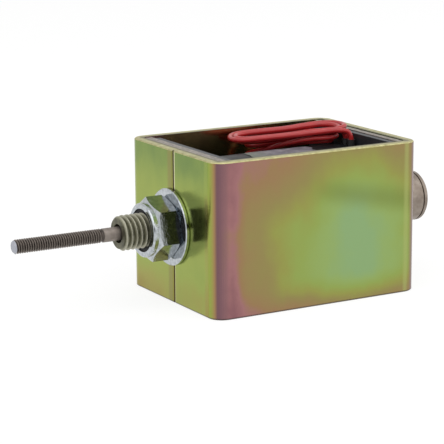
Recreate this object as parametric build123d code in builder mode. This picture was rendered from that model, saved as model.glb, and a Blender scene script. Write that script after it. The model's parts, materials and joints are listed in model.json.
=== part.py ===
from build123d import *

import os
from math import cos, pi, radians, tan

# Open-frame push-pull solenoid, in millimetres.
# A bent steel frame holds a wound bobbin between two flux plates. A turned core with a
# threaded nose closes one end, and a plunger slides in a brass tube from the other end
# and pushes a threaded rod out through the nose.
#
# "Station" is the distance along the solenoid's axis from the frame's nose face,
# positive towards the plunger. X runs along the axis, Z is up, and Z = 0 is the frame's
# bottom rim. X = 0 is half way between the rod's tip and the plunger's end.

# ---- frame
frame_length = 67.5
frame_width = 50.5
frame_height = 44.0
strip_thickness = 3.0
bend_radius = 4.4
frame_edge_break = 0.3
seam_offset = -1.0
seam_gap = 0.2
seam_roll_front = 1.1
seam_roll_back = 0.4

# ---- flux plates inside the frame's ends
nose_plate_thickness = 2.8
plunger_plate_thickness = 2.0
plate_clearance = 0.1
plate_inset = 0.2
plunger_plate_gap = 0.25

# ---- threaded nose, washer and nut
nose_diameter = 10.0
nose_reach = 16.9
nose_chamfer = 0.65
nose_hole_clearance = 0.1
washer_diameter = 22.0
washer_bore = 10.5
washer_thickness = 1.2
washer_edge_break = 0.25
nut_sides = 6
nut_across_flats = 16.0
nut_hexagon_thickness = 6.7
nut_turn = 19.0
nut_chamfer_angle = 30.0
nut_countersink = 0.55
nut_collar_diameter = 15.4
nut_collar_reach = 1.6
nut_collar_rounding = 0.5
nut_pocket_diameter = 12.3
nut_insert_recess = 0.4

# ---- plunger and the conical pole faces
plunger_diameter = 15.0
plunger_reach = 16.5
running_clearance = 0.05
stroke = 10.0
core_face = 30.0
core_relief = 0.4
cone_mouth_diameter = 13.0
cone_seat_diameter = 6.6
cone_half_angle = 30.0
plunger_groove_inset = 1.3
plunger_groove_width = 0.45
plunger_groove_depth = 0.4
plunger_end_chamfer = 0.35
centre_mark_diameter = 2.4
centre_mark_depth = 0.9

# ---- push rod, its bush and the residual washer
rod_reach = 48.5
rod_thread_diameter = 4.0
rod_thread_length = 26.0
rod_shank_diameter = 3.94
thread_run_out_length = 0.7
thread_run_out_diameter = 3.3
rod_screw_depth = 8.0
rod_chamfer = 0.5
core_bore_diameter = 4.6
nose_bore_diameter = 5.4
bush_inset = 8.9
bush_length = 12.0
residual_thickness = 0.5
residual_washer_diameter = 6.2
seat_clearance = 0.05

# ---- guide tube and bobbin
tube_wall = 0.4
bobbin_wall = 1.0
flange_thickness = 2.0
flange_inset = 0.4
flange_corner_radius = 1.5
bobbin_play = 0.1
wire_slot_offset = 9.5
wire_slot_width = 1.6
wire_slot_depth = 1.0

# ---- winding and its wrapping
wrap_thickness = 0.2
winding_diameter = 36.0
tape_thickness = 0.25
layer_clearance = 0.05
film_start = 24.0
film_length = 23.0
film_width = 9.5
film_offset = -1.5
film_thickness = 0.15

# ---- lead wires
lead_diameter = 1.5
sleeve_diameter = 2.3
sleeve_rise = 1.7
sleeve_offsets = (-3.4, -0.6)
sleeve_inset = 1.55
joint_height = 0.7
arc_share = 0.45
tip_diameter = 0.9
tip_length = 5.0
tip_drop = 3.1

# ---- hank of folded lead wire, lying between the coil and the frame's back wall
hank_length = 35.0
hank_width = 11.5
hank_thickness = 4.6
hank_inset = 14.15
hank_offset = 11.4
hank_drop = 1.6
hank_yaw = -17.4
hank_pitch = 6.4
hank_edge_radius = 1.9
soft_clearance = 0.3

os.makedirs("parts", exist_ok=True)

# ---- places worked out from the sizes above
overall_length = rod_reach + frame_length + plunger_reach
nose_face_x = rod_reach - overall_length / 2
frame_centre_x = nose_face_x + frame_length / 2
axis_z = frame_height / 2
inner_width = frame_width - 2 * strip_thickness
inner_bend_radius = bend_radius - strip_thickness

nose_plate_face = strip_thickness + nose_plate_thickness
plunger_plate_station = frame_length - strip_thickness - plunger_plate_gap - plunger_plate_thickness
plate_width = inner_width - 2 * plate_clearance
plate_height = frame_height - 2 * plate_inset

plunger_radius = plunger_diameter / 2
tube_bore_radius = plunger_radius + running_clearance
tube_radius = tube_bore_radius + tube_wall
tube_hole_radius = tube_radius + running_clearance
nose_radius = nose_diameter / 2
nose_hole_radius = nose_radius + nose_hole_clearance

bobbin_start = nose_plate_face + bobbin_play
bobbin_end = plunger_plate_station - bobbin_play
flange_width = inner_width - 2 * plate_clearance
flange_height = frame_height - 2 * flange_inset
flange_top = frame_height - flange_inset
spool_start = bobbin_start + flange_thickness
spool_end = bobbin_end - flange_thickness
barrel_radius = tube_hole_radius + bobbin_wall
wrap_radius = barrel_radius + layer_clearance + wrap_thickness
winding_radius = winding_diameter / 2
tape_bore_radius = winding_radius + layer_clearance
tape_radius = tape_bore_radius + tape_thickness

cone_mouth_radius = cone_mouth_diameter / 2
cone_seat_radius = cone_seat_diameter / 2
cone_depth = (cone_mouth_radius - cone_seat_radius) / tan(radians(cone_half_angle))
core_seat = core_face - cone_depth
plunger_shoulder = core_face + residual_thickness + seat_clearance + stroke
plunger_tip = plunger_shoulder - cone_depth
plunger_end = frame_length + plunger_reach
sleeve_station = spool_end - sleeve_inset
hank_station = spool_end - hank_inset
hank_height = flange_top - hank_drop
bush_start = bush_inset - nose_reach
bush_end = bush_start + bush_length
rod_radius = rod_shank_diameter / 2
rod_bore_radius = rod_thread_diameter / 2 + running_clearance
nut_back = -washer_thickness

turning_plane = Plane(origin=(nose_face_x, 0, axis_z), x_dir=(1, 0, 0), z_dir=(0, -1, 0))
main_axis = Axis((nose_face_x, 0, axis_z), (1, 0, 0))


def cross_plane(station):
    """The plane square to the axis at a station: local x is +Y, local y is +Z."""
    return Plane(origin=(nose_face_x + station, 0, axis_z), x_dir=(0, 1, 0), z_dir=(1, 0, 0))


def ring_profile(start, end, inner_radius, outer_radius):
    """Half section of a plain ring, for the open sketch on the turning plane."""
    with Locations((start, inner_radius)):
        Rectangle(end - start, outer_radius - inner_radius, align=(Align.MIN, Align.MIN))


def turned_profile(*points):
    """Closed outline through (station, radius) points, for the open sketch on the turning plane."""
    Polygon(*points, align=None)


def finish(builder, name):
    """Label a finished piece and write its STEP file."""
    builder.part.label = name
    export_step(builder.part, f"parts/{name}.step")


# ---- frame shell: one strip bent into a box, its ends butting at the middle of the nose face
frame_base = Plane(origin=(frame_centre_x, 0, 0))
with BuildPart() as frame_envelope:
    with BuildSketch(frame_base):
        RectangleRounded(frame_length, frame_width, bend_radius)
    extrude(amount=frame_height)
    chamfer(frame_envelope.faces().filter_by(Axis.Z).edges(), frame_edge_break)

seam_front = seam_offset - seam_gap / 2
seam_back = seam_offset + seam_gap / 2
with BuildPart() as frame_shell:
    with BuildSketch(frame_base):
        RectangleRounded(frame_length, frame_width, bend_radius)
        RectangleRounded(
            frame_length - 2 * strip_thickness, inner_width, inner_bend_radius, mode=Mode.SUBTRACT
        )
    extrude(amount=frame_height)
    add(frame_envelope.part, mode=Mode.INTERSECT)
    with BuildSketch(Plane(origin=(nose_face_x, 0, 0))):
        with BuildLine():
            CenterArc((seam_roll_front, seam_front - seam_roll_front), seam_roll_front, 180, -90)
            Polyline(
                (seam_roll_front, seam_front),
                (strip_thickness, seam_front),
                (strip_thickness, seam_back),
                (seam_roll_back, seam_back),
            )
            CenterArc((seam_roll_back, seam_back + seam_roll_back), seam_roll_back, 270, -90)
            Line((0, seam_back + seam_roll_back), (0, seam_front - seam_roll_front))
        make_face()
    extrude(amount=frame_height, mode=Mode.SUBTRACT)
    with BuildSketch(cross_plane(0)):
        Circle(nose_hole_radius)
    extrude(amount=strip_thickness, mode=Mode.SUBTRACT)
    with BuildSketch(cross_plane(frame_length)):
        Circle(tube_hole_radius)
    extrude(amount=-strip_thickness, mode=Mode.SUBTRACT)
finish(frame_shell, "frame_shell")

# ---- flux plates: flat blanks that thicken the frame's ends, rounded into its inner bends
with BuildPart() as nose_end_plate:
    with BuildSketch(cross_plane(strip_thickness)):
        Rectangle(plate_width, plate_height)
        Circle(nose_hole_radius, mode=Mode.SUBTRACT)
    extrude(amount=nose_plate_thickness)
    fillet(
        nose_end_plate.edges().filter_by(Axis.Z).group_by(Axis.X)[0],
        inner_bend_radius + plate_clearance,
    )
finish(nose_end_plate, "nose_end_plate")

with BuildPart() as plunger_end_plate:
    with BuildSketch(cross_plane(plunger_plate_station)):
        Rectangle(plate_width, plate_height)
        Circle(tube_hole_radius, mode=Mode.SUBTRACT)
    extrude(amount=plunger_plate_thickness)
    fillet(
        plunger_end_plate.edges().filter_by(Axis.Z).group_by(Axis.X)[-1],
        inner_bend_radius + plate_clearance,
    )
finish(plunger_end_plate, "plunger_end_plate")

# ---- fixed core: shoulder against the nose plate, threaded nose outside, conical seat inside
with BuildPart() as fixed_core:
    with BuildSketch(turning_plane):
        turned_profile(
            (-nose_reach, nose_bore_diameter / 2),
            (-nose_reach, nose_radius - nose_chamfer),
            (-nose_reach + nose_chamfer, nose_radius),
            (nose_plate_face, nose_radius),
            (nose_plate_face, plunger_radius - core_relief),
            (nose_plate_face + core_relief, plunger_radius),
            (core_face - core_relief, plunger_radius),
            (core_face, plunger_radius - core_relief),
            (core_face, cone_mouth_radius),
            (core_seat, cone_seat_radius),
            (core_seat, core_bore_diameter / 2),
            (bush_end, core_bore_diameter / 2),
            (bush_end, nose_bore_diameter / 2),
        )
    revolve(axis=main_axis)
finish(fixed_core, "fixed_core")

with BuildPart() as rod_bush:
    with BuildSketch(turning_plane):
        ring_profile(bush_start, bush_end, rod_bore_radius, nose_bore_diameter / 2 - seat_clearance / 2)
    revolve(axis=main_axis)
finish(rod_bush, "rod_bush")

# ---- washer and hexagon locking nut on the nose
with BuildPart() as mounting_washer:
    with BuildSketch(turning_plane):
        ring_profile(-washer_thickness, 0, washer_bore / 2, washer_diameter / 2)
    revolve(axis=main_axis)
    chamfer(
        mounting_washer.edges().filter_by(GeomType.CIRCLE).sort_by(SortBy.RADIUS)[-2:],
        washer_edge_break,
    )
finish(mounting_washer, "mounting_washer")

# The nut's hexagon is chamfered on both faces, and a round collar in front of it holds the insert.
nut_front = nut_back - nut_hexagon_thickness
collar_front = nut_front - nut_collar_reach
nut_corner_radius = nut_across_flats / 2 / cos(radians(180 / nut_sides))
nut_chamfer_rise = (nut_corner_radius - nut_collar_diameter / 2) * tan(radians(nut_chamfer_angle))
nut_bore_radius = nose_radius + seat_clearance / 2
with BuildPart() as mounting_nut:
    with BuildSketch(cross_plane(nut_back)):
        RegularPolygon(nut_across_flats / 2, nut_sides, major_radius=False, rotation=nut_turn)
        Circle(nut_bore_radius, mode=Mode.SUBTRACT)
    extrude(amount=-nut_hexagon_thickness)
    with BuildSketch(turning_plane):
        turned_profile(
            (nut_front, 0),
            (nut_front, nut_collar_diameter / 2),
            (nut_front + nut_chamfer_rise, nut_corner_radius),
            (nut_back - nut_chamfer_rise, nut_corner_radius),
            (nut_back, nut_collar_diameter / 2),
            (nut_back, 0),
        )
    revolve(axis=main_axis, mode=Mode.INTERSECT)
    chamfer(
        mounting_nut.edges().filter_by(GeomType.CIRCLE).group_by(SortBy.RADIUS)[0].sort_by(Axis.X)[-1],
        nut_countersink,
    )
    with BuildSketch(turning_plane):
        ring_profile(collar_front, nut_front, nut_pocket_diameter / 2, nut_collar_diameter / 2)
    revolve(axis=main_axis)
    fillet(
        mounting_nut.edges().filter_by(GeomType.CIRCLE).group_by(Axis.X)[0].sort_by(SortBy.RADIUS)[-1],
        nut_collar_rounding,
    )
finish(mounting_nut, "mounting_nut")

with BuildPart() as nut_insert:
    with BuildSketch(turning_plane):
        ring_profile(
            collar_front + nut_insert_recess, nut_front,
            nut_bore_radius, nut_pocket_diameter / 2 - seat_clearance / 2,
        )
    revolve(axis=main_axis)
finish(nut_insert, "nut_insert")

# ---- guide tube: the plunger's bearing, from the nose plate out through the plunger wall
with BuildPart() as guide_tube:
    with BuildSketch(turning_plane):
        ring_profile(nose_plate_face, frame_length, tube_bore_radius, tube_radius)
    revolve(axis=main_axis)
finish(guide_tube, "guide_tube")

# ---- bobbin: moulded spool with square flanges and a start-wire slot in the plunger flange
with BuildPart() as bobbin:
    for flange_station in (bobbin_start, spool_end):
        with BuildSketch(cross_plane(flange_station)):
            RectangleRounded(flange_width, flange_height, flange_corner_radius)
        extrude(amount=flange_thickness)
    with BuildSketch(turning_plane):
        ring_profile(spool_start, spool_end, 0, barrel_radius)
    revolve(axis=main_axis)
    with BuildSketch(cross_plane(bobbin_start)):
        Circle(tube_hole_radius)
    extrude(amount=bobbin_end - bobbin_start, mode=Mode.SUBTRACT)
    with BuildSketch(cross_plane(spool_end)):
        with Locations((wire_slot_offset, 0)):
            Rectangle(wire_slot_width, flange_height / 2, align=(Align.CENTER, Align.MIN))
    extrude(amount=wire_slot_depth, mode=Mode.SUBTRACT)
finish(bobbin, "bobbin")

# ---- winding, with the wrap under it and the tape over it
with BuildPart() as inner_wrap:
    with BuildSketch(turning_plane):
        ring_profile(
            spool_start + layer_clearance,
            spool_end - layer_clearance,
            barrel_radius + layer_clearance,
            wrap_radius,
        )
    revolve(axis=main_axis)
finish(inner_wrap, "inner_wrap")

with BuildPart() as winding:
    with BuildSketch(turning_plane):
        ring_profile(
            spool_start + layer_clearance,
            spool_end - layer_clearance,
            wrap_radius + layer_clearance,
            winding_radius,
        )
    revolve(axis=main_axis)
finish(winding, "winding")

sleeve_hole_radius = sleeve_diameter / 2 + layer_clearance
with BuildPart() as coil_tape:
    with BuildSketch(turning_plane):
        ring_profile(
            spool_start + layer_clearance,
            spool_end - layer_clearance,
            tape_bore_radius,
            tape_radius,
        )
    revolve(axis=main_axis)
    for offset_y in sleeve_offsets:
        with BuildSketch(Plane(origin=(nose_face_x + sleeve_station, offset_y, axis_z))):
            Circle(sleeve_hole_radius)
        extrude(amount=frame_height, mode=Mode.SUBTRACT)
finish(coil_tape, "coil_tape")

# ---- moving group: plunger, residual washer and push rod
groove_end = plunger_end - plunger_groove_inset
groove_start = groove_end - plunger_groove_width
groove_radius = plunger_radius - plunger_groove_depth
rod_socket_radius = rod_thread_diameter / 2 + seat_clearance / 2
rod_end = plunger_tip + rod_screw_depth
with BuildPart() as plunger:
    with BuildSketch(turning_plane):
        turned_profile(
            (plunger_tip, rod_socket_radius),
            (plunger_tip, cone_seat_radius),
            (plunger_shoulder, cone_mouth_radius),
            (plunger_shoulder, plunger_radius - core_relief),
            (plunger_shoulder + core_relief, plunger_radius),
            (groove_start, plunger_radius),
            (groove_start, groove_radius),
            (groove_end, groove_radius),
            (groove_end, plunger_radius),
            (plunger_end - plunger_end_chamfer, plunger_radius),
            (plunger_end, plunger_radius - plunger_end_chamfer),
            (plunger_end, centre_mark_diameter / 2),
            (plunger_end - centre_mark_depth, 0),
            (rod_end + seat_clearance, 0),
            (rod_end + seat_clearance, rod_socket_radius),
        )
    revolve(axis=main_axis)
finish(plunger, "plunger")

with BuildPart() as residual_washer:
    with BuildSketch(turning_plane):
        ring_profile(
            plunger_tip - residual_thickness,
            plunger_tip,
            rod_socket_radius,
            residual_washer_diameter / 2,
        )
    revolve(axis=main_axis)
finish(residual_washer, "residual_washer")

rod_thread_radius = rod_thread_diameter / 2
rod_thread_end = rod_thread_length - rod_reach
rod_shank_start = rod_thread_end + thread_run_out_length
with BuildPart() as push_rod:
    with BuildSketch(turning_plane):
        turned_profile(
            (-rod_reach, 0),
            (-rod_reach, rod_thread_radius - rod_chamfer),
            (-rod_reach + rod_chamfer, rod_thread_radius),
            (rod_thread_end, rod_thread_radius),
            (rod_thread_end, thread_run_out_diameter / 2),
            (rod_shank_start, thread_run_out_diameter / 2),
            (rod_shank_start, rod_radius),
            (plunger_tip, rod_radius),
            (plunger_tip, rod_thread_radius),
            (rod_end - rod_chamfer, rod_thread_radius),
            (rod_end, rod_thread_radius - rod_chamfer),
            (rod_end, 0),
        )
    revolve(axis=main_axis)
finish(push_rod, "push_rod")

# ---- grey film stuck on the crown of the coil
film_radius = tape_radius + layer_clearance
with BuildPart() as crown_film:
    with BuildSketch(turning_plane):
        ring_profile(
            film_start,
            film_start + film_length,
            film_radius,
            film_radius + film_thickness,
        )
    revolve(axis=main_axis)
    film_centre_x = nose_face_x + film_start + film_length / 2
    with BuildSketch(Plane(origin=(film_centre_x, film_offset, axis_z))):
        Rectangle(film_length, film_width)
    extrude(amount=frame_height, mode=Mode.INTERSECT)
finish(crown_film, "crown_film")

# ---- insulating sleeves where the leads leave the winding, with the soldered joints inside
with BuildPart() as lead_sleeves:
    for offset_y in sleeve_offsets:
        with BuildSketch(Plane(origin=(nose_face_x + sleeve_station, offset_y, axis_z))):
            Circle(sleeve_diameter / 2)
            Circle(lead_diameter / 2 + layer_clearance, mode=Mode.SUBTRACT)
        extrude(amount=tape_radius + sleeve_rise)
    with BuildSketch(cross_plane(sleeve_station - sleeve_diameter)):
        Circle(winding_radius + layer_clearance)
    extrude(amount=2 * sleeve_diameter, mode=Mode.SUBTRACT)
finish(lead_sleeves, "lead_sleeves")

joint_foot = axis_z + winding_radius + layer_clearance
with BuildPart() as lead_joints:
    for offset_y in sleeve_offsets:
        with BuildSketch(Plane(origin=(nose_face_x + sleeve_station, offset_y, joint_foot))):
            Circle(lead_diameter / 2)
        extrude(amount=joint_height)
finish(lead_joints, "lead_joints")

# ---- lead wires, from their joints up and over into the front side of the hank
hank_centre_x = nose_face_x + hank_station
hank_plane = Plane(
    Location((hank_centre_x, hank_offset, hank_height), (0, -hank_pitch, hank_yaw))
)
with BuildPart() as lead_hank:
    with BuildSketch(hank_plane.offset(-hank_thickness / 2)):
        SlotOverall(hank_length, hank_width)
    extrude(amount=hank_thickness)
    fillet(lead_hank.edges(), hank_edge_radius)
    ledge_corner_x = nose_face_x + spool_end - soft_clearance
    with BuildSketch(Plane(origin=(ledge_corner_x, 0, flange_top + soft_clearance))):
        Rectangle(hank_length, frame_width, align=(Align.MIN, Align.CENTER))
    extrude(amount=-hank_thickness * 2, mode=Mode.SUBTRACT)
finish(lead_hank, "lead_hank")

# Each route starts on its joint and ends just inside the hank. Its points are steps from the
# sleeve's station, places across the frame, and heights over the bobbin's top edge.
joint_top = joint_foot + joint_height
lead_routes = {
    "lead_a": ((0, sleeve_offsets[0], 0.3), (-2.2, -0.4, 0.6), (-3.6, 3.0, -0.2)),
    "lead_b": ((0, sleeve_offsets[1], 0.4), (-1.2, 3.3, 0.8)),
}
for lead_name, route in lead_routes.items():
    corners = [Vector(nose_face_x + sleeve_station, route[0][1], joint_top)]
    for step, offset_y, rise in route:
        corners.append(Vector(nose_face_x + sleeve_station + step, offset_y, flange_top + rise))
    runs = [end - start for start, end in zip(corners, corners[1:])]
    radii = []
    for run_in, run_out in zip(runs, runs[1:]):
        half_turn = radians(run_in.get_angle(run_out)) / 2
        radii.append(arc_share * min(run_in.length, run_out.length) / tan(half_turn))
    with BuildPart() as lead:
        with BuildLine() as lead_path:
            FilletPolyline(*corners, radius=radii)
        with BuildSketch(Plane(origin=corners[0], z_dir=runs[0])):
            Circle(lead_diameter / 2)
        sweep()
    path_length = sum(edge.length for edge in lead_path.edges())
    tube_volume = path_length * pi * (lead_diameter / 2) ** 2
    print(lead_name, "radii", [round(radius, 2) for radius in radii])
    print(lead_name, "volume", round(lead.part.volume, 3), "section x length", round(tube_volume, 3))
    finish(lead, lead_name)

# ---- tinned ends of the leads, pointing down out of the hank beside the back wall
tip_steps = ((-12.5, 7.6), (-10.0, 6.8))
with BuildPart() as lead_tips:
    for step, sidestep in tip_steps:
        tip_place = (hank_centre_x + step, hank_offset + sidestep, hank_height - tip_drop)
        with BuildSketch(Plane(origin=tip_place)):
            Circle(tip_diameter / 2)
        extrude(amount=-tip_length)
finish(lead_tips, "lead_tips")
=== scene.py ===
import json
import math

import bmesh
import bpy
from mathutils import Euler, Matrix, Vector, noise


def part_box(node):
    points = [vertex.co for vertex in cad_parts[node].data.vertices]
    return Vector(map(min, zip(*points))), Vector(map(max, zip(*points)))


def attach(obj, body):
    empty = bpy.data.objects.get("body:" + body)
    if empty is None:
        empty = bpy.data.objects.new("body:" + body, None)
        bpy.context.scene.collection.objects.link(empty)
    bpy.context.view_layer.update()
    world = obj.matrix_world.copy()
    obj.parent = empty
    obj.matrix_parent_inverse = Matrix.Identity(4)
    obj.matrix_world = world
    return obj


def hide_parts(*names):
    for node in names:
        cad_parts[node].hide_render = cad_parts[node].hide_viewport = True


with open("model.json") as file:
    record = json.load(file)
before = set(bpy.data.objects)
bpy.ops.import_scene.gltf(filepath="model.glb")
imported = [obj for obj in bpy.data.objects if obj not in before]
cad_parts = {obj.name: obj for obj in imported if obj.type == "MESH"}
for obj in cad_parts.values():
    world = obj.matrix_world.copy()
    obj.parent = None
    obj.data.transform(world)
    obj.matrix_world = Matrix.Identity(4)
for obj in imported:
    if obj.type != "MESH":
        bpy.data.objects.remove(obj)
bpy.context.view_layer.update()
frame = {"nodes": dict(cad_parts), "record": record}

MM = 0.001
WHITE = (1, 1, 1, 1)

# ---- places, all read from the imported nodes
shell_low, shell_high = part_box("frame_shell")
core_low, core_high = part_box("fixed_core")
rod_low, rod_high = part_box("push_rod")
tape_low, tape_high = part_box("coil_tape")
film_low, film_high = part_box("crown_film")
nose_x = shell_low.x
axis_z = (shell_low.z + shell_high.z) / 2
tape_radius = (tape_high.y - tape_low.y) / 2


def place(station, y, z):
    """A point from its station behind the nose face, y and z, in millimetres."""
    return Vector((nose_x + station * MM, y * MM, z * MM))


def show(thing):
    """Put a new object in the scene."""
    bpy.context.scene.collection.objects.link(thing)
    return thing


# ---- camera, at the photograph's angle
CAMERA_PLACE = (-0.257497, -0.446254, 0.136216)
CAMERA_RIGHT = (0.86645897, -0.49921063, -0.0061323)
CAMERA_UP = (0.11391937, 0.18573622, 0.97597358)
CAMERA_BACK = (-0.48607739, -0.84633965, 0.21780257)

camera_data = bpy.data.cameras.new("camera")
camera_data.lens, camera_data.sensor_width = 149.05, 36.0
camera_data.clip_start, camera_data.clip_end = 0.01, 20.0
camera = show(bpy.data.objects.new("camera", camera_data))
camera_turn = Matrix((CAMERA_RIGHT, CAMERA_UP, CAMERA_BACK)).transposed().to_4x4()
camera.matrix_world = Matrix.Translation(CAMERA_PLACE) @ camera_turn
bpy.context.scene.camera = camera

# ---- lead wires: up out of their sleeves, then folded into one loose hank beside the back wall
LEAD_DIAMETER = 1.5 * MM
hank_centre = place(45.2, 9.6, 42.9)
hank_turn = Euler((0, math.radians(-3.0), math.radians(-21.0))).to_matrix()


def in_hank(*points):
    """Points from their places along, across and over the hank's middle, in millimetres."""
    return [hank_centre + hank_turn @ (Vector(point) * MM) for point in points]


# Each route starts where the lead leaves its sleeve, goes round the hank in turns that differ in
# size, and ends in a tail that goes down between the coil and the back wall.
lead_routes = {
    "lead_wire_a": [place(58.6, -3.4, 40.75), place(58.6, -3.4, 44.1)] + in_hank(
        (14.2, -6.8, 1.2), (7.5, -6.3, 0.9), (0.0, -5.9, 0.6), (-8.0, -5.6, 0.4),
        (-14.6, -5.0, 0.1), (-17.6, -2.0, 0.1), (-17.6, 3.0, 0.3), (-14.6, 6.3, 0.4),
        (-7.5, 7.3, 0.4), (0.0, 7.8, 0.3), (8.0, 9.0, 0.8),
        (13.2, 7.6, 1.2), (16.3, 3.8, 1.3), (17.1, -0.8, 1.2), (14.4, -3.2, 0.9),
        (7.5, -3.1, 0.3), (0.0, -2.8, -0.6), (-6.0, -1.5, -1.1),
        (-12.2, 0.0, -1.4), (-15.4, 2.0, -1.3), (-15.4, 5.4, -1.2), (-12.8, 7.4, -1.1),
        (-7.0, 7.1, -1.0), (0.0, 6.6, -1.1), (6.5, 6.8, -0.7),
        (11.2, 5.4, -0.8), (14.1, 2.4, -1.1), (14.1, -2.6, -1.4), (11.0, -5.5, -1.1),
        (5.0, -5.3, -0.9), (-1.0, -3.6, -1.9), (-5.0, -0.8, -3.3), (-8.6, 2.2, -4.7),
    ) + [place(35.8, 17.9, 36.8), place(34.8, 18.3, 35.2), place(34.4, 18.6, 31.6)],
    "lead_wire_b": [place(58.6, -0.6, 40.75), place(58.6, -0.6, 43.9)] + in_hank(
        (13.4, -4.9, 1.2), (7.5, -4.7, 1.1), (0.0, -4.3, 0.6), (-7.0, -3.9, 0.4),
        (-13.4, -3.4, 0.2), (-16.0, -1.2, 0.2), (-16.0, 2.4, 0.4), (-13.4, 4.8, 0.4),
        (-7.0, 5.6, 0.4), (0.0, 6.0, 0.4), (7.5, 6.7, 0.8),
        (12.0, 5.7, 1.1), (14.8, 2.6, 1.0), (15.4, -0.9, 0.7), (12.6, -2.3, -0.3),
        (7.5, -1.6, -0.6), (0.0, -1.2, -1.3), (-4.5, 0.3, -2.0),
        (-9.0, 1.0, -2.8), (-12.2, 2.4, -2.9), (-12.2, 5.9, -2.8), (-9.0, 7.7, -2.7),
        (-4.0, 7.1, -2.5), (0.0, 6.0, -2.5), (5.5, 5.0, -2.2),
        (10.0, 4.2, -2.1), (12.6, 1.4, -2.3), (12.6, -2.2, -2.5), (9.8, -4.1, -2.2),
        (4.5, -3.4, -2.1), (0.5, -1.0, -2.9), (-2.0, 3.0, -4.0),
    ) + [place(42.4, 17.8, 37.2), place(40.4, 20.0, 34.4), place(36.8, 20.5, 32.6),
         place(32.0, 20.6, 32.0), place(28.4, 20.5, 29.8), place(29.0, 20.4, 26.0),
         place(33.0, 20.3, 24.9), place(36.8, 20.2, 25.4)],
}


def lead_curve(name, points):
    """A lead as one smooth spline, with the route's points as its control points."""
    curve = bpy.data.curves.new(name, "CURVE")
    curve.dimensions = "3D"
    spline = curve.splines.new("NURBS")
    spline.points.add(len(points) - 1)
    for knot, point in zip(spline.points, points):
        knot.co = (*point, 1)
    spline.order_u = 3
    spline.use_endpoint_u = True
    spline.resolution_u = 10
    curve.bevel_depth = LEAD_DIAMETER / 2
    curve.bevel_resolution = 7
    curve.use_fill_caps = True
    return show(bpy.data.objects.new(name, curve))


leads = [lead_curve(name, points) for name, points in lead_routes.items()]


# ---- material nodes
def tone(red, green, blue):
    """A colour given in screen values from 0 to 255."""
    return tuple(
        (c / 12.92 if c <= 0.04045 else ((c + 0.055) / 1.055) ** 2.4)
        for c in (red / 255, green / 255, blue / 255)
    ) + (1.0,)


class Graph:
    """A node tree, with short ways to add nodes and link them."""

    def __init__(self, tree):
        self.nodes, self.links = tree.nodes, tree.links

    def put(self, socket, value):
        """Link an output to a socket, or set a plain value on it."""
        if hasattr(value, "is_output"):
            self.links.new(value, socket)
        else:
            socket.default_value = value

    def add(self, kind, *values, **settings):
        """A new node with its settings, and with values on its first sockets."""
        node = self.nodes.new("ShaderNode" + kind)
        for setting, value in settings.items():
            setattr(node, setting, value)
        for socket, value in zip(node.inputs, values):
            self.put(socket, value)
        return node

    def math(self, operation, *values, clamp=False):
        return self.add("Math", *values, operation=operation, use_clamp=clamp).outputs[0]

    def chain(self, operation, first, *others):
        """One operation on several values in turn, such as their sum or product."""
        for other in others:
            first = self.math(operation, first, other)
        return first

    def span(self, value, low, high, start=0.0, end=1.0):
        """value from low to high, smoothed to run from start to end."""
        return self.add(
            "MapRange", value, low, high, start, end, interpolation_type="SMOOTHSTEP").outputs[0]


class Shader(Graph):
    """One procedural material, whose patterns are set out in millimetres in the row frame."""

    def __init__(self, name, metallic=0.0, roughness=0.5, **sockets):
        self.material = bpy.data.materials.new(name)
        self.material.use_nodes = True
        super().__init__(self.material.node_tree)
        self.inputs = self.nodes["Principled BSDF"].inputs
        self.inputs["Metallic"].default_value = metallic
        self.inputs["Roughness"].default_value = roughness
        for socket, value in sockets.items():
            self.inputs[socket.replace("_", " ")].default_value = value
        scaled = self.add("VectorMath", self.add("TexCoord").outputs["Object"], operation="SCALE")
        scaled.inputs["Scale"].default_value = 1 / MM
        self.spot = scaled.outputs[0]
        self.x, self.y, self.z = self.add("SeparateXYZ", self.spot).outputs
        normal = self.add("NewGeometry").outputs["True Normal"]
        self.nx, self.ny, self.nz = self.add("SeparateXYZ", normal).outputs

    def noise(self, size, detail=3.0, roughness=0.5, stretch=(1, 1, 1)):
        """Noise from 0 to 1 whose grains are about size millimetres."""
        mapping = self.add("Mapping", self.spot)
        mapping.inputs["Scale"].default_value = tuple(1 / (size * s) for s in stretch)
        node = self.add("TexNoise", mapping.outputs[0])
        node.inputs["Scale"].default_value = 1.0
        node.inputs["Detail"].default_value = detail
        node.inputs["Roughness"].default_value = roughness
        return node.outputs["Fac"]

    def swing(self, value, reach):
        """A value from 0 to 1, centred on 0 and as wide as reach."""
        return self.math("MULTIPLY_ADD", value, reach, -reach / 2)

    def stripe(self, value, low, full_from, full_to, high):
        """1 between full_from and full_to, and 0 under low and over high."""
        return self.math("MULTIPLY", self.span(value, low, full_from), self.span(value, high, full_to))

    def ramp(self, value, *stops):
        node = self.add("ValToRGB", value)
        ramp = node.color_ramp
        ramp.elements[0].position, ramp.elements[0].color = stops[0]
        ramp.elements[1].position, ramp.elements[1].color = stops[-1]
        for position, color in stops[1:-1]:
            ramp.elements.new(position).color = color
        return node.outputs[0]

    def mix(self, share, first, second):
        node = self.add("Mix", share, data_type="RGBA")
        self.put(node.inputs[6], first)
        self.put(node.inputs[7], second)
        return node.outputs[2]

    def color(self, value):
        self.put(self.inputs["Base Color"], value)

    def roughness(self, pattern, spread, least):
        """Roughness from least to least + spread, by a pattern from 0 to 1."""
        self.put(self.inputs["Roughness"], self.math("MULTIPLY_ADD", pattern, spread, least))

    def bump(self, height, depth):
        """height from 0 to 1, as a relief of depth millimetres."""
        node = self.add("Bump")
        node.inputs["Distance"].default_value = depth * MM
        self.put(node.inputs["Height"], height)
        self.put(self.inputs["Normal"], node.outputs[0])

    def radius(self):
        """Distance from the solenoid's axis."""
        rise = self.math("SUBTRACT", self.z, axis_z / MM)
        squares = self.math("MULTIPLY", self.y, self.y), self.math("MULTIPLY", rise, rise)
        return self.math("SQRT", self.math("ADD", *squares))


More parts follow.
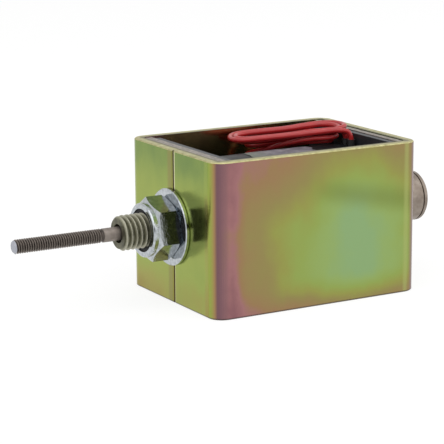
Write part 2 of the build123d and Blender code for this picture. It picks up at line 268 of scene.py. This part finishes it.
# ---- the frame's finish: yellow iridescent zinc chromate. station is measured from the nose face,
# far_end from the plunger end's face and top from the upper rim, all in millimetres.
def side_walls(film, station, far_end, top, drift):
    """The long walls. Their film grows thicker from each edge inwards, so its tints run through
    mauve, pink, tan, olive, yellow-green, green and blue-green."""
    from_nose = film.math(
        "ADD", film.span(station, 5.0, 11.0, 0.08, 0.4), film.span(station, 9.0, 48.0, 0.0, 0.6))
    thickness = film.chain(
        "MULTIPLY", from_nose, film.span(far_end, 0.0, 20.0, 0.66, 1.0),
        film.span(top, -10.0, 24.0, 0.3, 1.0), film.span(film.z, -4.0, 10.0, 0.25, 1.0))
    color = film.ramp(
        film.math("ADD", thickness, drift),
        (0.0, tone(138, 96, 100)), (0.11, tone(158, 112, 112)), (0.22, tone(152, 122, 88)),
        (0.42, tone(146, 134, 84)), (0.56, tone(148, 150, 80)), (0.70, tone(144, 162, 86)),
        (0.85, tone(144, 168, 100)), (1.0, tone(138, 168, 116)))
    # a darker olive band, a painted reflection, which falls a little towards the plunger end
    reflection_height = film.math("MULTIPLY_ADD", station, -0.19, 39.5)
    off_reflection = film.math("ABSOLUTE", film.math("SUBTRACT", film.z, reflection_height))
    painted_reflection = film.math("MULTIPLY", film.span(off_reflection, 5.5, 0.0), film.span(station, 26.0, 42.0))
    color = film.mix(film.math("MULTIPLY", painted_reflection, 0.5), color, tone(112, 126, 66))
    # the bends at the nose end and the plunger end, the last with a light line beside it
    color = film.mix(film.span(station, 4.6, 3.0, 0.0, 0.55), color, tone(124, 94, 98))
    light_line = film.stripe(station, 61.8, 62.8, 63.2, 64.2)
    color = film.mix(film.math("MULTIPLY", light_line, 0.5), color, tone(168, 176, 108))
    return film.mix(film.span(station, 63.6, 65.0, 0.0, 0.6), color, tone(150, 130, 84))


def end_walls(film, station, cloud, wisp):
    """The nose face and the plunger end's face, with the nose face's butt seam and its bend."""
    at_nose = film.math("LESS_THAN", station, 5.0)
    low_left = film.math(
        "MULTIPLY", film.span(film.z, 12.0, 0.0), film.span(film.y, -6.0, 12.0, 0.4, 1.0))
    near_corner = film.stripe(film.y, -22.6, -21.2, -20.0, -18.4)
    # the film's own clouds and wisps, plus a term that grows towards the top; the darker green which that
    # term gives at the top is a painted reflection
    thickness = film.chain(
        "ADD", film.math("MULTIPLY_ADD", cloud, 0.3, 0.38), film.swing(wisp, 0.16),
        film.span(film.z, 30.0, 42.0, 0.0, 0.3))
    thickness = film.chain(
        "SUBTRACT", thickness, film.math("MULTIPLY", low_left, 0.30),
        film.math("MULTIPLY", film.math("MULTIPLY", near_corner, 0.16), at_nose))
    color = film.ramp(
        thickness,
        (0.0, tone(146, 114, 66)), (0.16, tone(148, 132, 64)), (0.32, tone(154, 150, 74)),
        (0.5, tone(148, 162, 75)), (0.7, tone(135, 153, 73)), (0.88, tone(111, 135, 69)),
        (1.0, tone(105, 131, 76)))
    bend_color = film.ramp(
        film.span(film.y, -21.4, -25.2),
        (0.0, tone(148, 162, 78)), (0.28, tone(156, 148, 84)), (0.5, tone(158, 126, 88)),
        (0.72, tone(118, 88, 92)), (1.0, tone(122, 90, 98)))
    color = film.mix(film.span(film.y, -21.0, -21.8), color, bend_color)
    # a dull strip beside the seam, and the light that the seam's edge catches
    beside_seam = film.stripe(film.y, -1.0, -0.6, 0.9, 2.6)
    dull = film.math("MULTIPLY", beside_seam, film.math("MULTIPLY", at_nose, 0.8))
    color = film.mix(dull, color, tone(138, 132, 72))
    seam_edge = film.chain(
        "MULTIPLY", film.stripe(film.y, -2.7, -2.3, -1.75, -1.5),
        film.span(film.z, 8.0, 34.0, 0.25, 0.8), at_nose)
    return film.mix(seam_edge, color, tone(212, 208, 164))


def sheared_rim(film, station, far_end):
    """The strip's cut edge: bare and pale outside, and darker where it meets the end plates: painted shade
    on its inner part.
    """
    color = film.ramp(
        film.noise(1.6, detail=5.0, roughness=0.75),
        (0.25, tone(134, 130, 88)), (0.5, tone(182, 177, 128)), (0.75, tone(210, 205, 158)))
    from_side = film.math("SUBTRACT", shell_high.y / MM, film.math("ABSOLUTE", film.y))
    inward = film.math("MINIMUM", from_side, film.math("MINIMUM", station, far_end))
    # painted shade on the rim's inner part, from about 2 mm in from the outer faces
    return film.mix(film.span(inward, 1.7, 2.5, 0.0, 0.75), color, tone(84, 78, 60))


def chromated_steel():
    film = Shader("chromated_steel", metallic=1.0)
    station = film.math("SUBTRACT", film.x, nose_x / MM)
    far_end = film.math("SUBTRACT", (shell_high.x - shell_low.x) / MM, station)
    top = film.math("SUBTRACT", shell_high.z / MM, film.z)
    cloud = film.noise(15.0, detail=2.0)
    wisp = film.noise(4.5, detail=4.0, stretch=(1.0, 1.0, 2.0))
    fleck = film.noise(1.1)
    drift = film.chain("ADD", film.swing(cloud, 0.34), film.swing(wisp, 0.16), film.swing(fleck, 0.05))
    walls = film.mix(
        film.span(film.math("ABSOLUTE", film.nx), 0.25, 0.7),
        side_walls(film, station, far_end, top, drift), end_walls(film, station, cloud, wisp))
    # darker along the bottom edge: a painted contact shadow
    painted_contact_shadow = film.span(film.z, 0.6, 0.3, 0.0, 0.8)
    walls = film.mix(painted_contact_shadow, walls, tone(60, 50, 44))
    rim = film.math("GREATER_THAN", film.nz, 0.5)
    film.color(film.mix(rim, walls, sheared_rim(film, station, far_end)))
    film.put(film.inputs["Roughness"], film.math(
        "ADD", film.math("MULTIPLY_ADD", wisp, 0.14, 0.14), film.math("MULTIPLY", rim, 0.25)))
    swell = film.math("MULTIPLY", film.noise(3.0, detail=2.0), 2.5)
    film.bump(film.chain("ADD", film.noise(0.35), swell, film.math("MULTIPLY", rim, fleck)), 0.006)
    return film


# ---- the other finishes
def plate_steel():
    """The end plates: sheared steel with a thin dull zinc."""
    steel = Shader("plate_steel", metallic=1.0)
    steel.color(steel.ramp(
        steel.noise(1.4, detail=5.0, roughness=0.7, stretch=(0.4, 1, 1)),
        (0.28, tone(96, 90, 84)), (0.5, tone(150, 142, 134)), (0.74, tone(186, 178, 166))))
    steel.roughness(steel.noise(0.8), 0.3, 0.32)
    steel.bump(steel.noise(0.5, detail=4.0), 0.03)
    return steel


def core_steel():
    """The core and its nose: drab olive plating, with painted shade in the thread's roots and a painted
    highlight on its crests.
    """
    olive = Shader("core_steel", metallic=0.85)
    # darker in the thread's roots and paler on its crests: painted shade and a painted highlight
    color = olive.ramp(
        olive.span(olive.radius(), 4.05, 4.95),
        (0.0, tone(88, 87, 72)), (0.55, tone(150, 149, 128)), (1.0, tone(180, 177, 161)))
    patch = olive.noise(1.6, detail=4.0, roughness=0.6)
    olive.color(olive.mix(olive.span(patch, 0.35, 0.75, 0.0, 0.55), color, tone(150, 148, 126)))
    olive.roughness(patch, 0.3, 0.34)
    olive.bump(olive.noise(0.25, detail=4.0), 0.012)
    return olive


def bright_zinc():
    """The nut and the washer: bright zinc with a faint ripple."""
    zinc = Shader("bright_zinc", metallic=1.0)
    mottle = zinc.noise(1.1, detail=4.0, roughness=0.6)
    zinc.color(zinc.ramp(mottle, (0.3, tone(158, 163, 167)), (0.7, tone(198, 203, 207))))
    zinc.roughness(mottle, 0.1, 0.03)
    fine = zinc.math("MULTIPLY", zinc.noise(0.3), 0.5)
    zinc.bump(zinc.math("ADD", zinc.noise(1.2, detail=2.0), fine), 0.03)
    return zinc


def plunger_steel():
    """The plunger: ground round, with faint turning marks and stains."""
    ground = Shader("plunger_steel", metallic=0.9)
    stain = ground.noise(3.0, detail=4.0, roughness=0.6)
    ground.color(ground.mix(ground.span(stain, 0.3, 0.7), tone(128, 116, 106), tone(152, 141, 131)))
    ground.roughness(stain, 0.16, 0.28)
    ground.bump(ground.noise(0.16, detail=2.0, stretch=(1, 60, 60)), 0.008)
    return ground


def rod_steel():
    """The push rod: dull steel, with painted shade in the thread's roots, and bright at its cut tip."""
    steel = Shader("rod_steel", metallic=0.85)
    # dark in the thread's roots: painted shade
    color = steel.ramp(
        steel.span(steel.radius(), 1.6, 1.97), (0.0, tone(60, 55, 52)), (1.0, tone(142, 133, 126)))
    patch = steel.noise(1.2, detail=4.0)
    color = steel.mix(steel.span(patch, 0.35, 0.7, 0.0, 0.5), color, tone(122, 112, 104))
    cut_end = steel.math("LESS_THAN", steel.x, (rod_low.x + 0.42 * MM) / MM)
    steel.color(steel.mix(cut_end, color, tone(176, 178, 186)))
    steel.roughness(patch, 0.25, 0.34)
    steel.bump(steel.noise(0.2), 0.01)
    return steel


def brass():
    """The guide tube, the bush and the residual washer: drawn brass."""
    drawn = Shader("brass", metallic=1.0)
    drawn.color(drawn.mix(drawn.noise(2.0, detail=4.0), tone(186, 154, 92), tone(208, 180, 118)))
    drawn.roughness(drawn.noise(0.8), 0.2, 0.22)
    drawn.bump(drawn.noise(0.15, stretch=(1, 40, 40)), 0.004)
    return drawn


def black_moulding():
    """The bobbin: glass-filled nylon."""
    moulding = Shader("black_moulding")
    grain = moulding.noise(0.3)
    moulding.color(moulding.mix(moulding.noise(6.0), tone(30, 31, 34), tone(48, 50, 55)))
    moulding.roughness(grain, 0.16, 0.36)
    moulding.bump(grain, 0.015)
    return moulding


def black_tape():
    """The coil's tape: glossy, and rippled along its turns."""
    tape = Shader("black_tape", Specular_IOR_Level=0.12, Coat_Weight=0.02, Coat_Roughness=0.2)
    ripple = tape.noise(2.4, stretch=(0.35, 1.6, 1.6))
    tape.color(tape.mix(ripple, tone(18, 20, 21), tone(34, 38, 40)))
    tape.roughness(ripple, 0.2, 0.26)
    tape.bump(tape.math("ADD", ripple, tape.noise(0.5, stretch=(1, 20, 20))), 0.06)
    return tape


def grey_film():
    """The scrap of film on the coil's crown, greener towards the nose."""
    film = Shader("grey_film", Specular_IOR_Level=0.2)
    crease = film.noise(2.2, detail=4.0, roughness=0.65)
    gray = film.ramp(
        crease, (0.3, tone(88, 84, 92)), (0.5, tone(116, 111, 119)), (0.72, tone(146, 141, 146)))
    near_nose = film.span(film.x, nose_x / MM + 34.0, nose_x / MM + 25.0, 0.0, 0.75)
    film.color(film.mix(near_nose, gray, tone(112, 118, 104)))
    film.roughness(crease, 0.3, 0.35)
    film.bump(crease, 0.12)
    return film


def red_lead():
    """The leads: soft red insulation, lightly glossy."""
    red = Shader("red_lead", Coat_Weight=0.12, Coat_Roughness=0.2)
    red.color(red.mix(red.noise(4.0), tone(164, 28, 34), tone(202, 50, 50)))
    red.roughness(red.noise(0.8), 0.14, 0.24)
    red.bump(red.noise(0.35, detail=2.0), 0.01)
    return red


def patchy(name, patch_size, dark, light, rough=None, relief=None, **sockets):
    """A finish in darker and lighter patches. rough is its noise's size in millimetres, its spread
    and the least roughness, and relief is its noise's size and stretch, and its depth."""
    shader = Shader(name, **sockets)
    shader.color(shader.mix(shader.noise(patch_size), tone(*dark), tone(*light)))
    if rough:
        size, spread, least = rough
        shader.roughness(shader.noise(size), spread, least)
    if relief:
        size, stretch, depth = relief
        shader.bump(shader.noise(size, stretch=stretch), depth)
    return shader


EVEN, WOUND = (1, 1, 1), (1, 60, 60)
shaders = {
    "chromated_steel": chromated_steel(),
    "plate_steel": plate_steel(),
    "core_steel": core_steel(),
    "bright_zinc": bright_zinc(),
    "plunger_steel": plunger_steel(),
    "rod_steel": rod_steel(),
    "brass": brass(),
    "black_moulding": black_moulding(),
    "black_tape": black_tape(),
    "grey_film": grey_film(),
    "red_lead": red_lead(),
    "insulating_wrap": patchy(
        "insulating_wrap", 3.0, (196, 168, 104), (214, 190, 132), relief=(0.8, EVEN, 0.02), roughness=0.4),
    "copper_wire": patchy(
        "copper_wire", 1.5, (150, 76, 40), (186, 104, 60),
        rough=(0.5, 0.2, 0.25), relief=(0.3, WOUND, 0.05), metallic=0.9),
    "black_sleeving": patchy(
        "black_sleeving", 1.0, (22, 22, 24), (40, 40, 42), relief=(0.3, EVEN, 0.02), roughness=0.55),
    "solder": patchy(
        "solder", 0.5, (150, 150, 150), (190, 190, 188), rough=(0.4, 0.2, 0.3), metallic=1.0),
    "tinned_wire": patchy(
        "tinned_wire", 0.6, (176, 176, 170), (210, 210, 206),
        rough=(0.4, 0.2, 0.25), relief=(0.15, EVEN, 0.01), metallic=1.0),
}
# the nut's black nylon insert, in a darker black than the bobbin's: painted shade for the recess it sits
# in
locking_insert = patchy(
    "locking_insert", 0.4, (10, 10, 12), (22, 22, 26), rough=(0.4, 0.2, 0.5), Specular_IOR_Level=0.3)
for subpart in frame["record"]["subparts"]:
    node = frame["nodes"][subpart["node"]]
    node.data.materials.clear()
    node.data.materials.append(shaders[subpart["material_slot"]].material)
frame["nodes"]["nut_insert"].data.materials[0] = locking_insert.material


# ---- ways to make pieces
def dress(piece, body, slot, *nodes):
    """Give a new piece its material and its body, and hide the CAD nodes that it stands for."""
    piece.data.materials.append(shaders[slot].material)
    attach(piece, body)
    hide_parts(*nodes)
    return piece


def smooth(mesh, crease_angle):
    """Smooth shading, but for edges sharper than crease_angle degrees."""
    mesh.polygons.foreach_set("use_smooth", [True] * len(mesh.polygons))
    mesh.set_sharp_from_angle(angle=math.radians(crease_angle))


def mesh_piece(name, points, faces, crease_angle=35):
    mesh = bpy.data.meshes.new(name)
    mesh.from_pydata([tuple(p) for p in points], [], faces)
    mesh.update()
    smooth(mesh, crease_angle)
    return show(bpy.data.objects.new(name, mesh))


def tidy(piece, distance=1e-6, crease_angle=35):
    """Merge doubled points, and drop loose ones and faces of no size."""
    made = bmesh.new()
    made.from_mesh(piece.data)
    bmesh.ops.remove_doubles(made, verts=made.verts, dist=distance)
    bmesh.ops.dissolve_degenerate(made, dist=distance, edges=made.edges)
    loose = [v for v in made.verts if not v.link_faces]
    bmesh.ops.delete(made, geom=loose, context="VERTS")
    bmesh.ops.recalc_face_normals(made, faces=made.faces)
    made.to_mesh(piece.data)
    made.free()
    smooth(piece.data, crease_angle)
    return piece


def round_point(x, radius, angle):
    """A point at a distance and an angle round the solenoid's axis."""
    return (x, radius * math.cos(angle), axis_z + radius * math.sin(angle))


def lathe(name, profile, sides):
    """A closed outline turned round the solenoid's axis. Its points are x in metres and radius in
    millimetres, and a radius of 0 is a pole."""
    points, rings = [], []
    for x, radius in profile:
        if radius == 0:
            rings.append([len(points)] * sides)
            points.append((x, 0, axis_z))
        else:
            rings.append(list(range(len(points), len(points) + sides)))
            points += [round_point(x, radius * MM, math.tau * k / sides) for k in range(sides)]
    faces = []
    for one, two in zip(rings, rings[1:] + rings[:1]):
        for k in range(sides):
            corner = [one[k], one[(k + 1) % sides], two[(k + 1) % sides], two[k]]
            corner = [v for i, v in enumerate(corner) if v not in corner[:i]]
            if len(corner) > 2:
                faces.append(corner[::-1])
    return mesh_piece(name, points, faces)


THREAD_DEPTH = 0.613  # of an outside metric thread, as a share of its pitch
HALF_CREST, FLANK = 1 / 16, 5 / 16  # along the axis, as shares of the pitch


def thread_depth(phase, pitch):
    """How far a thread lies under its crest, for a phase from 0 to 1."""
    off_crest = min(phase % 1, 1 - phase % 1) - HALF_CREST
    return THREAD_DEPTH * pitch * min(max(off_crest / FLANK, 0), 1)


def threaded_bar(name, start, end, radius, pitch, chamfer, run_out, sides, steps):
    """A screw thread from start to end, in metres along X, with its crests at radius. The start is
    chamfered, the thread fades out over run_out, and each turn has steps rows of points."""
    rows = int((end - start) / pitch * steps) + steps + 1
    points, index = [], {}
    for i in range(-steps, rows):
        for k in range(sides):
            x = start + pitch * (i / steps + k / sides)
            inside = min(max(x, start), end)
            fade = min(max((end - inside) / run_out, 0), 1) if run_out else 1
            r = radius - thread_depth(i / steps, pitch) * fade
            r = min(r, radius - chamfer + (inside - start))
            index[i, k] = len(points)
            points.append(round_point(inside, r, math.tau * k / sides))
    faces = []
    for i in range(-steps, rows - 1):
        for k in range(sides):
            if k < sides - 1:
                quad = (index[i, k], index[i, k + 1], index[i + 1, k + 1], index[i + 1, k])
            elif (i + 1 + steps, 0) in index:
                # the last column joins the first one a turn further on
                quad = (index[i, k], index[i + steps, 0], index[i + 1 + steps, 0], index[i + 1, k])
            else:
                continue
            if len({points[v][0] for v in quad}) > 1:
                faces.append(quad[::-1])
    return tidy(mesh_piece(name, points, faces))


# ---- the fixed core: an M10x1.5 nose with a chamfered end and a bore for the rod, the body
# behind the nose face, and its conical pole
nose_tip = core_low.x
nose_thread = threaded_bar(
    "nose_thread", nose_tip, nose_x, radius=5.0 * MM, pitch=1.5 * MM, chamfer=0.65 * MM,
    run_out=0.4 * MM, sides=72, steps=12)
dress(nose_thread, "housing", "core_steel", "fixed_core")

thread_root, nose_neck = 4.05, 4.98
core_radius, core_edge = 7.5, 7.1
core_bore, mouth_bore = 2.3, 2.7
pole_mouth, pole_floor = 6.5, 3.3
pole_floor_x = core_high.x - 5.54 * MM
mouth_end = nose_x + 4.0 * MM
shoulder = nose_x + 5.8 * MM
core_body = lathe("core_body", [
    (nose_tip + 0.02 * MM, mouth_bore), (nose_tip + 0.02 * MM, 4.36), (nose_tip + 0.3 * MM, thread_root),
    (nose_x - 0.4 * MM, thread_root), (nose_x - 0.2 * MM, nose_neck), (shoulder, nose_neck),
    (shoulder, core_edge), (shoulder + 0.4 * MM, core_radius),
    (core_high.x - 0.4 * MM, core_radius), (core_high.x, core_edge), (core_high.x, pole_mouth),
    (pole_floor_x, pole_floor), (pole_floor_x, core_bore),
    (mouth_end, core_bore), (mouth_end, mouth_bore)], sides=72)
dress(core_body, "housing", "core_steel", "fixed_core")

# ---- the push rod: an M4x0.7 thread, its run-out, then the plain shank down to the plunger
rod_tip = rod_low.x
thread_end = rod_tip + 26.0 * MM
rod_thread = threaded_bar(
    "rod_thread", rod_tip, thread_end, radius=2.0 * MM, pitch=0.7 * MM, chamfer=0.5 * MM,
    run_out=0.0, sides=40, steps=10)
dress(rod_thread, "moving_core", "rod_steel", "push_rod")

shank = 1.97
rod_body = lathe("rod_body", [
    (rod_tip + 0.01 * MM, 0), (rod_tip + 0.01 * MM, 1.49), (rod_tip + 0.2 * MM, 1.55),
    (thread_end + 0.1 * MM, 1.6), (thread_end + 0.55 * MM, 1.65), (thread_end + 0.75 * MM, 1.95),
    (thread_end + 0.95 * MM, shank), (rod_high.x - 0.5 * MM, shank),
    (rod_high.x, 1.5), (rod_high.x, 0)], sides=40)
dress(rod_body, "moving_core", "rod_steel", "push_rod")


# ---- coil tape and crown film
def lapped_tape():
    """A few turns of tape, pulled tight over the winding and lapped at their end."""
    rows, sides = 56, 160
    bore = 18.02 * MM
    slack, dent_depth = 0.1 * MM, 0.12 * MM
    lap_height, lap_from, lap_to = 0.09 * MM, 1.15, 1.95
    points, faces = [], []
    for i in range(rows + 1):
        x = tape_low.x + (tape_high.x - tape_low.x) * i / rows
        for k in range(sides):
            angle = math.tau * k / sides
            lap = lap_height if lap_from < angle < lap_to else 0
            grain_at = Vector((x / MM * 0.16, math.cos(angle) * 2.2, math.sin(angle) * 2.2))
            dent = dent_depth * (noise.noise(grain_at) - 0.6)
            radius = min(tape_radius - slack + dent * 0.6 + lap, tape_radius)
            points.append(round_point(x, radius, angle))
    for i in range(rows):
        for k in range(sides):
            n = (k + 1) % sides
            faces.append((i * sides + k, (i + 1) * sides + k, (i + 1) * sides + n, i * sides + n))
    last, inner = rows * sides, len(points)
    for x in (tape_low.x, tape_high.x):
        points += [round_point(x, bore, math.tau * k / sides) for k in range(sides)]
    for k in range(sides):
        n = (k + 1) % sides
        faces.append((inner + k, k, n, inner + n))
        faces.append((last + k, inner + sides + k, inner + sides + n, last + n))
        faces.append((inner + sides + k, inner + k, inner + n, inner + sides + n))
    return tidy(mesh_piece("tape_wrap", points, faces), crease_angle=50)


def creased_film():
    """A creased scrap of film with uneven edges, stuck over the crown of the coil."""
    along, across = 60, 26
    side_waver, end_waver = 0.16, 0.07  # how far the edges pull in, as shares of the scrap
    glue, lift, crease_height = 0.01 * MM, 0.05 * MM, 0.10 * MM
    points, faces = [], []
    for i in range(along + 1):
        for k in range(across + 1):
            u, v = i / along, k / across
            edge = noise.noise(Vector((u * 5.0, 3.0 if v > 0.5 else 9.0, 0)))
            end = noise.noise(Vector((v * 4.0, 17.0 if u > 0.5 else 23.0, 0)))
            x_share = 0.5 + (u - 0.5) * (1 - end_waver * (1 + end))
            y_share = 0.5 + (v - 0.5) * (1 - side_waver * (1 + edge))
            x = film_low.x + (film_high.x - film_low.x) * x_share
            y = film_low.y + (film_high.y - film_low.y) * y_share
            wrinkle = crease_height * (noise.noise(Vector((x / MM * 0.5, y / MM * 0.35, 1.0))) + 0.5)
            middle = min(1, 12 * min(u, 1 - u, v, 1 - v))
            radius = tape_radius + glue + middle * (lift + max(wrinkle, 0))
            points.append((x, y, axis_z + math.sqrt(radius * radius - y * y)))
    for i in range(along):
        for k in range(across):
            a = i * (across + 1) + k
            faces.append((a, a + across + 1, a + across + 2, a + 1))
    sheet = mesh_piece("crown_film_sheet", points, faces)
    thick = sheet.modifiers.new("thick", "SOLIDIFY")
    thick.thickness, thick.offset = 0.05 * MM, 1.0
    return sheet


dress(lapped_tape(), "housing", "black_tape", "coil_tape")
dress(creased_film(), "housing", "grey_film", "crown_film")


# ---- leads: their stranded tinned ends, then the cords themselves
def stranded_tip(name, start, along):
    """Twisted strands that go on from a cord's end in the direction along, as one closed mesh."""
    reach, radius, strands, turns = 5 * MM, 0.45 * MM, 6, 0.9
    overlap = 0.04  # how far the strands start inside the cord, as a share of reach
    side = along.cross(Vector((0.3, 1, 0.2))).normalized()
    over = along.cross(side)
    rows, sides = 24, strands * 6
    points = []
    for i in range(rows + 1):
        share = i / rows
        middle = start + along * ((share * (1 + overlap) - overlap) * reach)
        for k in range(sides):
            angle = math.tau * k / sides
            lobe = 0.78 + 0.22 * abs(math.cos(strands / 2 * (angle - turns * math.tau * share)))
            out = radius * lobe * (1 - 0.12 * share)
            points.append(middle + side * (out * math.cos(angle)) + over * (out * math.sin(angle)))
    faces = []
    for i in range(rows):
        for k in range(sides):
            n = (k + 1) % sides
            faces.append((i * sides + k, i * sides + n, (i + 1) * sides + n, (i + 1) * sides + k))
    faces += [tuple(reversed(range(sides))), tuple(rows * sides + k for k in range(sides))]
    return tidy(mesh_piece(name, points, faces))


for lead in leads:
    first, *_, before, last = lead_routes[lead.name]
    tip = stranded_tip(lead.name.replace("wire", "tip"), last, (last - before).normalized())
    dress(tip, "housing", "tinned_wire", "lead_tips")
    dress(lead, "housing", "red_lead", lead.name.replace("_wire", ""), "lead_hank")

# ---- floor: pale paper that keeps the part's shadow, and is almost white to the camera
FLOOR_REACH = 4.0
corners = [(x * FLOOR_REACH, y * FLOOR_REACH, 0) for x, y in ((-1, -1), (1, -1), (1, 1), (-1, 1))]
floor_mesh = bpy.data.meshes.new("floor")
floor_mesh.from_pydata(corners, [], [(0, 1, 2, 3)])
floor = show(bpy.data.objects.new("floor", floor_mesh))
floor.location.z = shell_low.z - 0.05 * MM
paper = bpy.data.materials.new("paper")
paper.use_nodes = True
paper.node_tree.nodes.clear()
graph = Graph(paper.node_tree)
path = graph.add("LightPath").outputs
seen = graph.math("ADD", path["Is Camera Ray"], path["Is Glossy Ray"], clamp=True)
seen = graph.math("ADD", seen, path["Is Transmission Ray"], clamp=True)
lit = graph.add("BsdfDiffuse", (0.8, 0.8, 0.8, 1)).outputs[0]
glow = graph.add("Emission", WHITE, 0.84).outputs[0]
shadowed = graph.add("BsdfDiffuse", (0.22, 0.22, 0.22, 1)).outputs[0]
shown = graph.add("AddShader", glow, shadowed).outputs[0]
graph.add("OutputMaterial", graph.add("MixShader", seen, lit, shown).outputs[0])
floor_mesh.materials.append(paper)

# ---- world: a room that is pale all round, but darker on the side that the picture is taken from,
# with a white background for the camera
DARK_SIDE = (-0.50, -0.846, 0.19)
world = bpy.data.worlds.new("studio")
bpy.context.scene.world = world
world.use_nodes = True
world.node_tree.nodes.clear()
graph = Graph(world.node_tree)
path = graph.add("LightPath").outputs
direction = graph.add("TexCoord").outputs["Generated"]
to_dark_side = graph.add("VectorMath", direction, DARK_SIDE, operation="DOT_PRODUCT").outputs["Value"]
dim = graph.span(to_dark_side, 0.86, 0.975, 1.0, 0.05)
level = graph.span(path["Is Glossy Ray"], 0.0, 1.0, 0.55, 0.92)
strength = graph.add("Mix", path["Is Camera Ray"], data_type="FLOAT")
graph.put(strength.inputs[2], graph.math("MULTIPLY", dim, level))
graph.put(strength.inputs[3], 1.0)
graph.add("OutputWorld", graph.add("Background", WHITE, strength.outputs[0]).outputs[0])


# ---- lamps
def soft_lamp(name, position, size, power):
    """A large round lamp that faces the part."""
    light = bpy.data.lights.new(name, "AREA")
    light.shape, light.size, light.energy = "DISK", size, power
    lamp = show(bpy.data.objects.new(name, light))
    lamp.location = position
    lamp.rotation_euler = (Vector((0, 0, 0.02)) - Vector(position)).to_track_quat("-Z", "Y").to_euler()


soft_lamp("key", (-0.35, -0.5, 0.9), size=1.8, power=7.0)
soft_lamp("fill", (0.8, -0.5, 0.5), size=1.4, power=3.0)
bpy.context.scene.view_settings.view_transform = "Standard"
